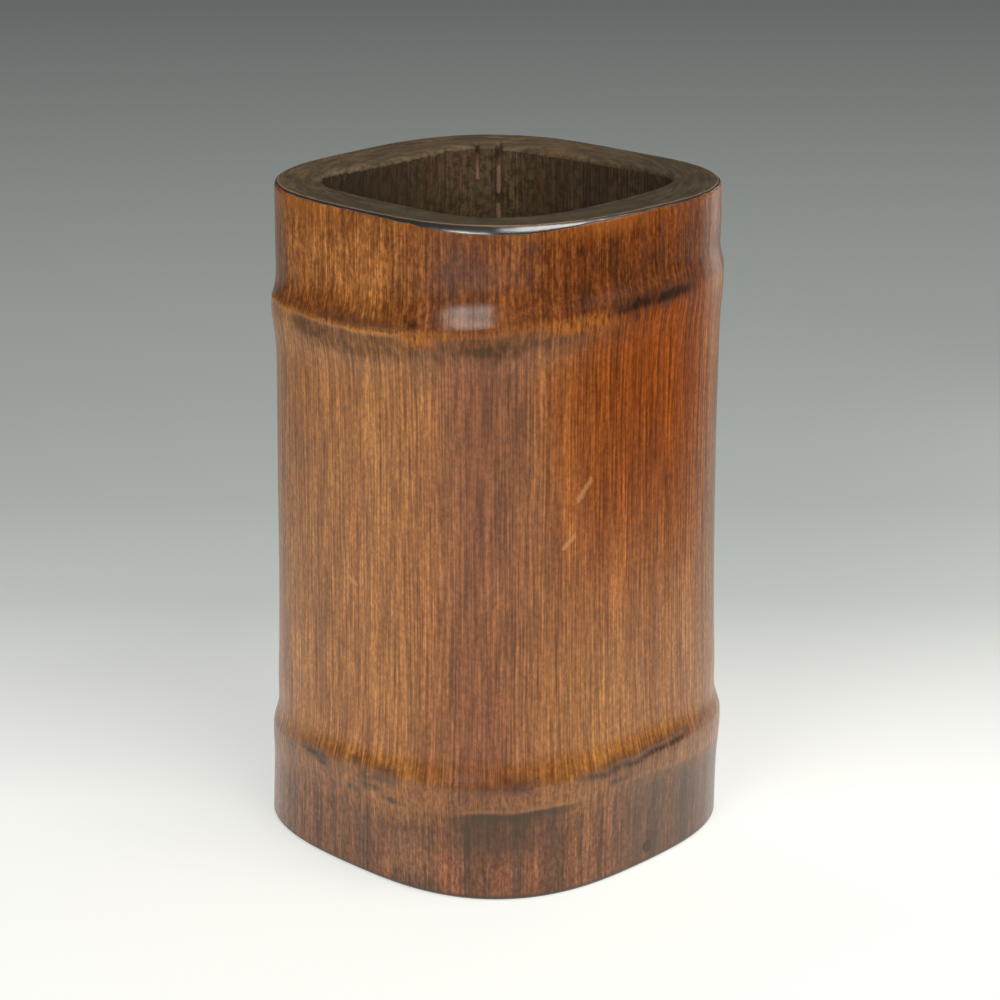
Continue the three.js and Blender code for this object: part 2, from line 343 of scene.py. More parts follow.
# Outside of the rim, down from the arris in mm. At the front corner it is more a worn bevel than a round
def rimOutside(a, run):
    r, start, front = outerRound(a), radians(rim["arrisTilt"]), cornerShare(a)
    turn = np.clip(start + run / r, 0, pi / 2)
    power, width = 1 + rim["cornerFlat"] * front, r * (1 - rim["cornerSteep"] * front)
    down = r * (cos(start) ** power - np.maximum(np.cos(turn), 0) ** power)
    z = stem["height"] - down - np.maximum(run - r * (pi / 2 - start), 0)
    return stemRadius(a, z) + outsideRelief(a, z) - width * (1 - np.sin(turn) ** power), z


# Inside of the rim: from 0 to 1 the rounding, past 1 down the well in mm
def rimInside(a, share):
    soft, back = along(a, rim["softStretch"], 40), along(a, rim["backStretch"], 30)
    chips = rim["chip"] * along(a, rim["jagged"], 12) * np.maximum(bumps(a, 0, "chips"), 0)
    bevel = rim["bevel"] + rim["softBevel"] * soft + rim["backBevel"] * back
    drop = rim["bevelDrop"] + rim["softDrop"] * soft + rim["backDrop"] * back + chips
    turn = np.clip(share, 0, 1) * pi / 2
    z = stem["height"] - drop * (1 - np.cos(turn)) - np.maximum(share - 1, 0)
    return innerRadius(a, z, z) + bevel * (1 - np.sin(turn)), z


# Length of the coat down the outside
def skirtRun(a):
    fullArc = outerRound(a) * (pi / 2 - radians(rim["arrisTilt"]))
    return rim["skirt"] + (fullArc - rim["skirt"]) * cornerShare(a) + waves(a, "skirt")


# The middle of the outside's box is the origin
plainA, plainH = np.meshgrid(np.linspace(0, fullTurn, 73)[:-1], np.linspace(0, wallTop, 400))
plainR = stemRadius(plainA, plainH)
shiftX, shiftY = (-(np.min(plain) + np.max(plain)) / 2
                  for plain in (plainR * np.cos(plainA), plainR * np.sin(plainA)))

# Columns round the stem, closer together in the folds
mesh = dict(columns=456, furrowColumns=9)
columns = list(np.arange(mesh["columns"]) * fullTurn / mesh["columns"])
for degrees, width, _ in furrows:
    halfTurn, middle = width / 2 / cornerWell, radians(degrees)
    columns += list(np.linspace(middle - halfTurn, middle + halfTurn, mesh["furrowColumns"]))
angles = np.array(sorted(columns))
print("stem:", len(angles), "columns")


def spot(angle, z, radius):
    return Vector(((radius * cos(angle) + shiftX) * mm, (radius * sin(angle) + shiftY) * mm, z * mm))


def newObject(name, data):
    made = bpy.data.objects.new(name, data)
    scene.collection.objects.link(made)
    return made


# Heights in stretches of (first, last, step)
def graded(*stretches):
    return np.concatenate([np.arange(first, last, step) for first, last, step in stretches])


# A closed band of rings, each (radius, height, material)
def bandMesh(name, rings):
    n, count = len(angles), len(rings)
    points = []
    for radius, height, _ in rings:
        r, z = np.broadcast_to(radius, n), np.broadcast_to(height, n)
        points.append(np.stack([r * np.cos(angles) + shiftX, r * np.sin(angles) + shiftY, z], 1))
    ring, side = np.arange(count)[:, None], np.arange(n)[None, :]
    nextRing, nextSide = (ring + 1) % count, (side + 1) % n
    faces = np.stack([ring * n + side, ring * n + nextSide, nextRing * n + nextSide, nextRing * n + side], -1)
    data = bpy.data.meshes.new(name)
    data.from_pydata((np.concatenate(points) * mm).tolist(), [], faces.reshape(-1, 4).tolist())
    data.polygons.foreach_set("material_index", np.repeat([part for _, _, part in rings], n).astype(np.int32))
    data.update()
    data.shade_smooth()
    return newObject(name, data)


# A layer of numbers or of places, one to a point
def addLayer(piece, name, values):
    kind, key = ("FLOAT", "value") if values.ndim == 1 else ("FLOAT_VECTOR", "vector")
    layer = piece.data.attributes.new(name, kind, "POINT")
    layer.data.foreach_set(key, np.ascontiguousarray(values, dtype=np.float32).ravel())


# Angle, height and radius of each point, in the stem's own millimetres
def polar(piece):
    flat = np.empty(len(piece.data.vertices) * 3)
    piece.data.vertices.foreach_get("co", flat)
    x, y, z = (flat.reshape(-1, 3) / mm).T
    return np.arctan2(y - shiftY, x - shiftX), z, np.hypot(x - shiftX, y - shiftY)


# Node trees. A helper works in the tree that its sockets belong to


def tone(red, green, blue):
    return tuple(((c / 255 + 0.055) / 1.055) ** 2.4 for c in (red, green, blue)) + (1,)


def treeOf(values):
    return next(value.id_data for value in values if hasattr(value, "id_data"))


def put(value, socket):
    if hasattr(value, "id_data"):
        socket.id_data.links.new(value, socket)
    else:
        socket.default_value = value


# A new node, as the output that is wanted
def addNode(tree, kind, inputs, output=0, **settings):
    made = tree.nodes.new("ShaderNode" + kind)
    for key, value in settings.items():
        setattr(made, key, value)
    for key, value in inputs.items():
        put(value, made.inputs[key])
    return made.outputs[output]


def maths(operation, *values):
    return addNode(treeOf(values), "Math", dict(enumerate(values)), operation=operation)


def vectorMaths(operation, *values, output=0):
    return addNode(treeOf(values), "VectorMath", dict(enumerate(values)), output, operation=operation)


def scaled(vector, factor):
    return addNode(vector.id_data, "VectorMath", {0: vector, "Scale": factor}, operation="SCALE")


def times(first, *others):
    for other in others:
        first = maths("MULTIPLY", first, other)
    return first


def most(first, *others):
    for other in others:
        first = maths("MAXIMUM", first, other)
    return first


def fade(value, low, high, bottom=0, top=1):
    ends = {"Value": value, "From Min": low, "From Max": high, "To Min": bottom, "To Max": top}
    return addNode(value.id_data, "MapRange", ends, interpolation_type="SMOOTHSTEP")


def between(value, low, high, soft):
    return times(fade(value, low - soft, low + soft), fade(value, high - soft, high + soft, 1, 0))


def mixed(share, first, second, blend="MIX"):
    inputs = {0: share, 6: first, 7: second}  # 6 and 7 are the colours
    return addNode(treeOf(inputs.values()), "Mix", inputs, 2, data_type="RGBA", blend_type=blend)


# Layers over a colour: each a colour and the shares to multiply for it
def painted(colour, *layers):
    for over, *shares in layers:
        colour = mixed(times(*shares), colour, over)
    return colour


def noise(vector, scale, detail=2, roughness=0.5, output="Fac"):
    return addNode(vector.id_data, "TexNoise",
                   {"Vector": vector, "Scale": scale, "Detail": detail, "Roughness": roughness}, output)


# Places squeezed in height, so that what is drawn on them is long
def squeezed(place, share):
    return vectorMaths("MULTIPLY", place, addNode(place.id_data, "CombineXYZ", {"X": 1, "Y": 1, "Z": share}))


# Noise faded: squeeze, scale, detail, roughness, low, high and the values there
def grained(place, squeeze, scale, detail, roughness, *turn):
    return fade(noise(squeezed(place, squeeze), scale, detail, roughness), *turn)


def mask(tree, name, output="Fac"):
    return addNode(tree, "Attribute", {}, output, attribute_name=name)


def objectPlace(tree):
    return addNode(tree, "TexCoord", {}, "Object")


# A group with inputs by name, None for a place
def newGroup(name, inputs, *outputs):
    group = bpy.data.node_groups.new(name, "ShaderNodeTree")
    for label, value in inputs.items():
        kind = "NodeSocketVector" if value is None else "NodeSocketFloat"
        socket = group.interface.new_socket(label, in_out="INPUT", socket_type=kind)
        if value is not None:
            socket.default_value = value
    for label in outputs:
        group.interface.new_socket(label, in_out="OUTPUT", socket_type="NodeSocketFloat")
    return group, group.nodes.new("NodeGroupInput").outputs, group.nodes.new("NodeGroupOutput").inputs


# Fibres that run along the stem: fine grain, thin dark lines and broad bands
fibreStreaks, given, result = newGroup(
    "fibreStreaks", {"Place": None, "Spacing": 0.001, "Stretch": 0.02, "Waver": 0.0006},
    "Fine", "Line", "Band")
bend = vectorMaths("SUBTRACT", noise(given["Place"], 26, 0, output="Color"), (0.5, 0.5, 0.5))
grain = squeezed(vectorMaths("ADD", given["Place"], scaled(bend, given["Waver"])), given["Stretch"])
perMetre = maths("DIVIDE", 1, given["Spacing"])
shorter = squeezed(grain, 1.7)


def atScale(where, share, detail, roughness):
    return noise(where, times(perMetre, share), detail, roughness)


def thinLines(share, width):
    offLine = maths("ABSOLUTE", maths("SUBTRACT", atScale(grain, share, 0, 0.5), 0.5))
    return fade(offLine, 0, width, 1, 0)


shown = fade(atScale(shorter, 0.5, 1, 0.5), 0.3, 0.56)  # a line shows on part of its length
line = most(times(thinLines(0.52, 0.07), 0.3), times(thinLines(0.95, 0.17), 0.85))
put(fade(atScale(shorter, 1.7, 2, 0.7), 0.3, 0.7), result["Fine"])
put(times(line, shown), result["Line"])
put(atScale(shorter, 0.17, 3, 0.55), result["Band"])

# Soft stains and mottling
mottling, given, result = newGroup(
    "mottling", {"Size": 0.01, "Stretch": 0.5, "Low": 0.5, "High": 0.65, "Shift": 0}, "Mask")
moved = addNode(mottling, "CombineXYZ", {"Z": given["Shift"]})
place = vectorMaths("ADD", squeezed(objectPlace(mottling), given["Stretch"]), moved)
cloud = noise(place, maths("DIVIDE", 1, given["Size"]), 4, 0.6)
put(fade(cloud, given["Low"], given["High"]), result["Mask"])

# A scratch between two points, broken up along its length
scratchMark, given, result = newGroup("scratchMark", {"Start": None, "End": None, "Width": 0.0004}, "Mask")
place = objectPlace(scratchMark)
run = vectorMaths("SUBTRACT", given["End"], given["Start"])
reach = vectorMaths("SUBTRACT", place, given["Start"])
dots = [vectorMaths("DOT_PRODUCT", side, run, output="Value") for side in (reach, run)]
share = addNode(scratchMark, "Clamp", {"Value": maths("DIVIDE", *dots)})
off = vectorMaths("DISTANCE", reach, scaled(run, share), output="Value")
off = maths("DIVIDE", off, times(given["Width"], noise(place, 1500)))
put(fade(off, 0.6, 1.9, 1, 0), result["Mask"])

# Tiny pale specks, on about a third of the cells
specks, given, result = newGroup("specks", {"Spacing": 0.006, "Size": 0.05}, "Mask")
perMetre = maths("DIVIDE", 1, given["Spacing"])
cells = addNode(specks, "TexVoronoi", {"Vector": objectPlace(specks), "Scale": perMetre}).node.outputs
near = fade(maths("DIVIDE", cells["Distance"], given["Size"]), 0.6, 1.2, 1, 0)
chosen = addNode(specks, "SeparateColor", {"Color": cells["Color"]})
put(times(near, fade(chosen, 0.6, 0.62)), result["Mask"])


def useGroup(tree, group, *values):
    inputs = [item.name for item in group.interface.items_tree if item.in_out == "INPUT"]
    return addNode(tree, "Group", dict(zip(inputs, values)), node_tree=group).node.outputs


# Fibres keep to a point's height and angle, not to its bulges
def fibres(tree, spacing, stretch, waver):
    return useGroup(tree, fibreStreaks, mask(tree, "fibrePlace", "Vector"), spacing, stretch, waver)


# Size in metres, stretch, low, high, shift
def stains(tree, *values):
    return useGroup(tree, mottling, *values)["Mask"]


# Each scratch has two ends of (degrees, height) and a width in metres
def scratched(colour, scratches, radiusAt, over, strength):
    for *ends, width in scratches:
        ends = [(radians(degrees), z) for degrees, z in ends]
        ends = [spot(a, z, float(radiusAt(a, z))) for a, z in ends]
        made = useGroup(colour.id_data, scratchMark, *ends, width)
        colour = painted(colour, (over, made["Mask"], strength))
    return colour


def newMaterial(name, roughness, coat=0, coatRoughness=0.1, specular=0.25):
    material = bpy.data.materials.new(name)
    material.use_nodes = True
    shader = material.node_tree.nodes["Principled BSDF"]
    for socket, value in (("Roughness", roughness), ("Coat Weight", coat), ("Coat Roughness", coatRoughness),
                          ("Specular IOR Level", specular)):
        put(value, shader.inputs[socket])
    return material, material.node_tree, shader


# The coat is smoother than what is under it
coatShare = 0.25


def finish(shader, colour, roughness, height, distance, strength=1):
    put(colour, shader.inputs["Base Color"])
    put(roughness, shader.inputs["Roughness"])
    for socket, reach in (("Normal", distance), ("Coat Normal", distance * coatShare)):
        inputs = {"Height": height, "Distance": reach, "Strength": strength}
        put(addNode(shader.id_data, "Bump", inputs), shader.inputs[socket])


# Outside skin: old polished bamboo
skin = dict(
    golden=tone(202, 140, 72), brown=tone(172, 108, 52), saturated=tone(188, 104, 36),
    fineDark=(0.6, 0.54, 0.48, 1), fineLight=(1.32, 1.32, 1.32, 1),
    fleckDark=(0.66, 0.6, 0.54, 1), fleckLight=(1.3, 1.3, 1.3, 1),
    strandDark=(0.66, 0.58, 0.52, 1), strandLight=(1.26, 1.26, 1.26, 1),
    lineShade=(0.42, 0.34, 0.3, 1), deepTint=(0.98, 0.86, 0.62, 1),
    dusky=tone(136, 78, 50), lineDark=tone(112, 58, 22), stain=tone(92, 56, 42),
    tornOrange=tone(202, 128, 60), smudge=tone(82, 62, 46), crease=tone(48, 31, 20),
    ridgePale=tone(208, 136, 68), footRed=tone(142, 90, 60), footDark=tone(92, 66, 48),
    footGrey=tone(84, 70, 56), lipPale=tone(176, 122, 74), lipShade=tone(62, 46, 30),
    footEdgeShade=tone(60, 50, 32), lilac=tone(98, 66, 58), rimOrange=tone(200, 118, 44),
    scratch=tone(208, 152, 96), aboveNode=tone(146, 84, 36), nodeBrown=tone(110, 78, 52),
    roughness=0.5, wornRoughness=0.62, coat=0.9, dullCoat=0.12, coatRoughness=0.26,
    specular=0.05,
)
skinScratches = [((-24.6, 92.9), (-20.9, 97.1), 0.001), ((-28.6, 82.5), (-26, 84.7), 0.0009),
                 ((-90.4, 70.1), (-88.6, 69.3), 0.0009), ((96, 88), (99, 93), 0.0005),
                 ((170, 52), (172.5, 49), 0.0004)]

# Noise on the skin, as grained takes it
skinGrain = dict(
    dirt=(0.5, 330, 4, 0.7, 0.36, 0.62, 0.15, 0.85),
    fleck=(0.6, 1150, 3, 0.7, 0.37, 0.63),
    strand=(0.2, 860, 3, 0.7, 0.36, 0.64),
    blotch=(0.45, 620, 4, 0.75, 0.34, 0.62, 0.45, 1),
    tick=(0.2, 1500, 3, 0.65, 0.34, 0.62),
    lowTick=(0.4, 1500, 3, 0.7, 0.38, 0.62),
    broken=(1, 260, 3, 0.7, 0.32, 0.5),
    groove=(0.5, 420, 3, 0.7, 0.3, 0.55, 0.5, 1),
    mark=(0.4, 900, 4, 0.75, 0.36, 0.6, 0.35, 1),
)

# Bands along the scars: mask, line, and from, to and softness in mm
skinBands = dict(
    torn=("torn", "tornEdge", -3.1, 0, 0.7),
    ridge=("ridge", "upper", -0.3, 0.2, 0.25), overRidge=("overRidge", "upper", 0.5, 3, 1.2),
    halo=("crease", "upper", -2.4, 2.6, 2), groove=("crease", "upper", -1.2, 1, 0.8),
    lowHalo=("lowCrease", "lower", -2, 2.4, 1.8), lowLine=("lowCrease", "lower", -0.6, 0.6, 0.7),
    lip=("lip", "lip", 0, 0.9, 0.35), underLip=("lip", "lip", -4.2, -0.3, 0.6),
    footShade=("footShade", "fallen", -10, -0.5, 3),
)


# Noise round zero, for an edge that frays
def frayed(place, squeeze, scale, amount):
    return times(maths("SUBTRACT", noise(squeezed(place, squeeze), scale, 3, 0.7), 0.5), amount)


bambooSkin, tree, shader = newMaterial("bambooSkin", skin["roughness"], skin["coat"], skin["coatRoughness"],
                                     skin["specular"])
fine, line, band = fibres(tree, 0.00085, 0.014, 0.0005)
_, hair, _ = fibres(tree, 0.0006, 0.022, 0.0003)
place = objectPlace(tree)
grain = {name: grained(place, *values) for name, values in skinGrain.items()}
ragged, fall = frayed(place, 0.12, 1300, 4), frayed(place, 0.06, 520, 9)
upper, lower, lip = (mask(tree, name) for name in ("aboveUpper", "aboveLower", "aboveLip"))
raggedUpper = maths("ADD", upper, ragged)
lines = {"upper": raggedUpper, "lower": maths("ADD", lower, ragged), "lip": lip,
         "tornEdge": maths("MULTIPLY_ADD", ragged, 0.5, raggedUpper),
         "fallen": maths("MULTIPLY_ADD", fall, 1.6, lip)}
on = {name: times(mask(tree, maskName), between(lines[over], *reach))
      for name, (maskName, over, *reach) in skinBands.items()}
warm, tall, shade = mask(tree, "warm"), mask(tree, "tall"), mask(tree, "shade")

broad = times(stains(tree, 0.0065, 0.12, 0.25, 0.75, 0.6), 0.5)
colour = mixed(maths("MULTIPLY_ADD", fade(band, 0.1, 0.9), 0.5, broad), skin["brown"], skin["golden"])
colour = painted(
    colour,
    (mixed(fade(band, 0.26, 0.72, 0.5, 1), skin["lineDark"], skin["saturated"]), warm),
    # the front corner is made dusky: partly its own darker tone, partly painted shade where it gets less
    # light
    (skin["dusky"], mask(tree, "dusk"), 0.74),
    (skin["stain"], stains(tree, 0.016, 0.4, 0.5, 0.72, 0.3), 0.2),
    (skin["lineDark"], stains(tree, 0.0045, 0.35, 0.48, 0.7, 0.9), 0.15),
    (skin["lilac"], mask(tree, "lilac"), 0.85),
    (mixed(fade(band, 0.38, 0.62), skin["footDark"], skin["footRed"]),
     fade(maths("ADD", lip, ragged), -5.5, 1.2, 0.8, 0)),
)
colour = mixed(mask(tree, "deep"), colour, skin["deepTint"], "MULTIPLY")
colour = mixed(1, colour, shade, "MULTIPLY")

# Darker skin above the upper node, dirt on the lower one
top = times(fade(upper, 0, 1.5), fade(upper, 6, 24, 0.72, 0.42), maths("MULTIPLY_ADD", warm, 0.35, 1),
            fade(shade, 1.05, 1.35, 1, 0.4))
low = maths("MULTIPLY_ADD", fall, 0.4, lower)
speckled = times(between(low, -5.5, 0.6, 2), fade(lip, -0.6, 1.6), mask(tree, "speckled"))
dirt = times(between(low, -6, 1.5, 2.4), grain["dirt"], maths("MULTIPLY_ADD", speckled, -0.6, 1))
topTone = mixed(fade(band, 0.3, 0.7, 0.4, 1), skin["lineDark"], skin["aboveNode"])
colour = painted(colour, (topTone, top), (skin["nodeBrown"], dirt))

# Fibres, broken up into flecks above the upper node and at the foot
flecky = most(fade(upper, -1, 4), fade(lip, -3, 0.5, 1, 0))
fineShare, fleckShare, strandShare, lineShare = (
    fade(flecky, 0, 1, *ends) for ends in ((1, 0.8), (0.6, 0.85), (0.35, 0.6), (0.45, 0.5)))
strandShare = maths("ADD", strandShare, fade(upper, 0, 3, 0, 0.25))
lineShare = maths("ADD", lineShare, times(warm, 0.08))
for name, share, pattern in (("fine", fineShare, fine), ("fleck", fleckShare, grain["fleck"]),
                             ("strand", strandShare, grain["strand"])):
    shaded = mixed(pattern, skin[name + "Dark"], skin[name + "Light"])
    colour = mixed(share, colour, shaded, "MULTIPLY")
for share in (times(line, lineShare), times(hair, lineShare, 0.9)):
    colour = mixed(share, colour, skin["lineShade"], "MULTIPLY")

# A smudge below the upper line, lower down where the skin is torn
underLine = maths("ADD", maths("MULTIPLY_ADD", fall, 0.3, upper), times(mask(tree, "torn"), 1.9))
smudge = times(fade(maths("ADD", upper, fall), -8.2, -4.2), fade(underLine, -1.3, 0.1, 1, 0),
               mask(tree, "smudge"), grain["blotch"])
ridge, groove = times(on["ridge"], grain["broken"]), times(on["groove"], grain["groove"])
underLip = times(on["underLip"], fade(lip, -4.4, -0.4, 0.2, 1))
colour = painted(
    colour,
    (skin["smudge"], smudge, 0.9),
    (mixed(grain["tick"], skin["lineDark"], skin["tornOrange"]), on["torn"], 0.7),
    (skin["stain"], on["overRidge"], 0.55), (skin["ridgePale"], ridge, 0.8),
    (skin["stain"], on["halo"], 0.6), (skin["crease"], groove, 0.95),
    # lower node: speckled between the line and the lip, painted shade below the lip
    (mixed(grain["lowTick"], skin["lineDark"], skin["lipPale"]), speckled, 0.5),
    (skin["stain"], on["lowHalo"], 0.4), (skin["crease"], on["lowLine"], grain["broken"], 0.75),
    (skin["lipPale"], on["lip"], 0.4), (skin["lipShade"], underLip, 0.85),
    (skin["lipShade"], on["footShade"], 0.6),
    # painted shade: darker grey below the lip on the right
    (skin["footGrey"], mask(tree, "footGrey"), fade(lip, -1.5, 0.5, 1, 0), 0.5),
    # listed marks, the foot's edge and the strip under the rim
    (skin["crease"], mask(tree, "darkMarks"), grain["mark"]),
    (skin["stain"], mask(tree, "redMarks"), grain["mark"]),
    # painted shade: a dark olive line along the bottom edge of the foot
    (skin["footEdgeShade"], fade(tall, 0.5, 1.6, 0.85, 0)),
    (skin["rimOrange"], fade(maths("ADD", tall, ragged), 149.5, 153.6), mask(tree, "underRim")),
)
colour = scratched(colour, skinScratches, stemRadius, skin["scratch"], 0.55)
colour = painted(colour, (skin["scratch"], useGroup(tree, specks, 0.011, 0.03)["Mask"], 0.6))

# The polish is gone from torn and dirty places
worn = most(on["torn"], smudge)
step = times(fade(mask(tree, "torn"), 0.05, 0.3), between(upper, -1, 0.6, 0.35))
dull = most(worn, step, on["ridge"], groove, times(mask(tree, "deep"), 0.5))
put(fade(dull, 0, 1, skin["coat"], skin["dullCoat"]), shader.inputs["Coat Weight"])
roughness = fade(worn, 0, 1, skin["roughness"], skin["wornRoughness"])
roughness = maths("ADD", roughness, fade(fine, 0.3, 0.7, -0.05, 0.05))
height = maths("SUBTRACT", times(fine, 0.35), times(line, 0.5))
height = maths("ADD", height, times(on["torn"], grain["tick"], 1.5))
finish(shader, colour, roughness, height, 0.00006)

# Inside of the well: bare bamboo, dark, with painted light on the back wall
well = dict(
    olive=tone(146, 120, 88), dark=tone(66, 53, 40), reddish=tone(132, 84, 64),
    pale=tone(176, 134, 112), roughness=0.6, fleck=(0.8, 620, 4, 0.75, 0.38, 0.6, 0.85, 0),
)
wellStreaks = [((140.2, 152.4), (140.2, 147), 0.0009), ((132.6, 149), (132.6, 143.4), 0.0009),
               ((132.8, 139.8), (132.6, 137.2), 0.001)]


def bareWell(a, z):
    return wellRadius(a, z) + insideRelief(a, z)


bambooInside, tree, shader = newMaterial("bambooInside", well["roughness"])
fine, line, band = fibres(tree, 0.0012, 0.016, 0.0008)
# painted light: the well's back wall is mixed towards the paler olive, besides the fibre bands
bandsAndPaintedLight = maths("MULTIPLY_ADD", mask(tree, "paintedLightBack"), 0.42, fade(band, 0.2, 0.85, 0, 0.5))
colour = painted(
    mixed(bandsAndPaintedLight, well["dark"], well["olive"]),
    (well["reddish"], stains(tree, 0.009, 0.6, 0.52, 0.7, 0.1), 0.7),
    (well["dark"], line, 0.45), (well["dark"], fade(fine, 0, 1, 0.35, 0)),
    (well["dark"], grained(objectPlace(tree), *well["fleck"])),
)
colour = scratched(colour, wellStreaks, bareWell, well["pale"], 0.75)
colour = painted(colour, (well["pale"], useGroup(tree, specks, 0.005, 0.05)["Mask"], 0.5))
finish(shader, colour, fade(fine, 0.3, 0.7, 0.5, 0.72), maths("SUBTRACT", fine, line), 0.0002)


# Ends of the fibres in a cut, as dots so many to the metre
def cutFibres(tree, perMetre, low, high):
    cells = addNode(tree, "TexVoronoi", {"Vector": objectPlace(tree), "Scale": perMetre})
    return fade(cells, low, high, 1, 0)


# Cut end of the stem at the foot: fibres end on, in darkened pith
cut = dict(pith=tone(150, 112, 72), fibre=tone(78, 48, 28), grime=tone(70, 54, 40))

bambooCutEnd, tree, shader = newMaterial("bambooCutEnd", 0.65)
dots = cutFibres(tree, 1300, 0.2, 0.42)
colour = mixed(times(dots, 0.8), cut["pith"], cut["fibre"])
colour = painted(colour, (cut["grime"], stains(tree, 0.008, 1, 0.42, 0.66, 0), 0.7))
finish(shader, colour, fade(dots, 0, 1, 0.72, 0.55), dots, 0.00008)

# Lacquer on the rim, worn thin at the back, with a painted highlight along the arris
lacquer = dict(
    black=tone(26, 23, 22), olive=tone(92, 82, 60), brown=tone(128, 106, 78), worn=tone(158, 116, 82),
    dark=tone(52, 44, 34), arrisHighlight=tone(196, 150, 124),
    smoothest=0.45, roughest=0.58, coatRoughness=0.22, coatIndex=2.15,
)

rimLacquer, tree, shader = newMaterial("rimLacquer", 0.5, 1, lacquer["coatRoughness"], 0.35)
place = objectPlace(tree)
brushed = fade(noise(mask(tree, "ringPlace", "Vector"), 900, 4, 0.65), 0.36, 0.66)
grain = noise(place, 1500, 3, 0.7)
cloud = times(stains(tree, 0.006, 1, 0.35, 0.7, 0.2), 0.4)
toBrown = maths("MULTIPLY_ADD", mask(tree, "browner"), 0.6, cloud)
rub = stains(tree, 0.004, 1, 0.4, 0.7, 0.7)
colour = painted(
    mixed(toBrown, lacquer["olive"], lacquer["brown"]),
    (lacquer["dark"], fade(brushed, 0, 1, 0.55, 0)),
    (lacquer["worn"], rub, brushed, mask(tree, "wornTop"), 0.7),
    (lacquer["black"], fade(grain, 0.35, 0.65, 0.4, 0)), (lacquer["black"], mask(tree, "roundedEdge")),
    # painted highlight: a pale pinkish line along the outer arris, where the top meets the rounded edge
    (lacquer["arrisHighlight"], mask(tree, "arrisHighlight"), fade(noise(place, 300, 3), 0.2, 0.5), 0.75),
)
put(mask(tree, "roundedEdge"), shader.inputs["Coat Weight"])
put(lacquer["coatIndex"], shader.inputs["Coat IOR"])
roughness = fade(grain, 0.3, 0.7, lacquer["smoothest"], lacquer["roughest"])
finish(shader, colour, roughness, maths("ADD", grain, times(brushed, 0.7)), 0.00004, 0.6)

# Board in the foot and the peg ends
board = dict(
    light=tone(128, 92, 60), dark=tone(82, 54, 34), wavesPerMetre=1 / 0.0126, contrast=0.45,
    darkest=0.3, heart=(0, 0.21, 0.03), stretch=(0.06, 1, 1),
)

floorWood, tree, shader = newMaterial("floorWood", 0.6)
grain = addNode(tree, "Mapping",
                {"Vector": objectPlace(tree), "Location": board["heart"], "Scale": board["stretch"]})
inputs = {"Vector": grain, "Scale": board["wavesPerMetre"], "Distortion": 9, "Detail": 4,
          "Detail Scale": 0.9, "Detail Roughness": 0.65}
rings = addNode(tree, "TexWave", inputs, "Fac", bands_direction="Y", wave_profile="SAW")
pores = noise(grain, 2200, 3, 0.7)
rings = maths("MULTIPLY_ADD", rings, board["contrast"], board["darkest"])
colour = painted(mixed(rings, board["dark"], board["light"]),
                 (board["dark"], fade(pores, 0.3, 0.6, 0.5, 0)),
                 (cut["grime"], stains(tree, 0.014, 1, 0.45, 0.7, 0.5), 0.5))
finish(shader, colour, fade(pores, 0.3, 0.7, 0.7, 0.5), pores, 0.0001)


def pegMaterial(name, light, dark):
    material, tree, shader = newMaterial(name, 0.5, 0.5, 0.2, 0.05)
    dots = cutFibres(tree, 2600, 0.15, 0.45)
    finish(shader, mixed(times(dots, 0.4), light, dark), fade(dots, 0, 1, 0.5, 0.65), dots, 0.00005)
    return material


print("materials")
pegBrown = pegMaterial("pegBrown", skin["footRed"], skin["footGrey"])
# pegDark is mixed from the tones of the painted shade below the lip, for the pegs that sit in it
pegDark = pegMaterial("pegDark", skin["footGrey"], skin["lipShade"])

# Wall: up the outside, over the rim, down the well and round the seat
outer, inner, cutEnd = 0, 1, 2
outsideRows = graded((0.6, 2.4, 0.6), (2.4, 13, 1.3), (13, 18, 0.7), (18, 30, 0.33), (30, 40, 0.9),
                     (40, 118, 2.4), (118, 127, 0.75), (127, 137, 0.26), (137, 146, 0.8), (146, 151.6, 1))
insideRows = graded((8, 24, 2.6), (24, 34, 1.2), (34, 122, 4.4), (122, 146, 1.5), (146, 151, 1))[::-1]
edgeShares = (0, 0.3, 0.6, 0.85, 1, 1.5, 2.2, 3)

rings = [(stemRadius(angles, 0) - stem["footEdge"], 0, outer)]
for h in outsideRows:
    z = tilted(angles, h)
    rings.append((stemRadius(angles, h) + outsideRelief(angles, z), z, outer))
for run in np.linspace(rim["wallRun"], 0, 12):
    r, z = rimOutside(angles, run)
    cover = rim["wallUnderCoat"] * smooth(1.5 - run)
    rings.append((r - cover, z - cover, outer))
for share in edgeShares:
    r, z = rimInside(angles, share)
    cover = rim["wallUnderCoat"] * rising(share, 1.9, 1.1)
    rings.append((r + cover, z - cover, inner))
for h in insideRows:
    z = tilted(angles, h)
    rings.append((innerRadius(angles, h, z), z, inner))
ledge = wellRadius(angles, boardTop)
seat = ledge + stem["boardSeat"]
rings += [(ledge, boardTop, cutEnd), (seat, boardTop, cutEnd), (seat, 0, cutEnd)]

wall = bandMesh("stem_wall", rings)
for material in (bambooSkin, bambooInside, bambooCutEnd):
    wall.data.materials.append(material)
print("wall:", len(wall.data.polygons), "faces")

# Holes for the pegs, a hair wider than the pegs
peg = dict(height=4, radius=1.3, slack=0.03, sides=32, reach=30, count=4, sharpFrom=48)

for k in range(peg["count"]):
    turn = k * fullTurn / peg["count"]
    bpy.ops.mesh.primitive_cylinder_add(vertices=peg["sides"], radius=(peg["radius"] + peg["slack"]) * mm,
                                        depth=peg["reach"] * mm, rotation=(0, pi / 2, turn))
    hole = bpy.context.object
    hole.location = spot(turn, peg["height"], stem["sideRadius"])
    cutter = wall.modifiers.new("pegHole", "BOOLEAN")
    cutter.operation = "DIFFERENCE"
    cutter.solver = "MANIFOLD"
    cutter.object = hole
    bpy.context.view_layer.objects.active = wall
    bpy.ops.object.modifier_apply(modifier=cutter.name)
    bpy.data.objects.remove(hole)
wall.data.set_sharp_from_angle(angle=radians(peg["sharpFrom"]))
print("wall with peg holes:", len(wall.data.polygons), "faces")

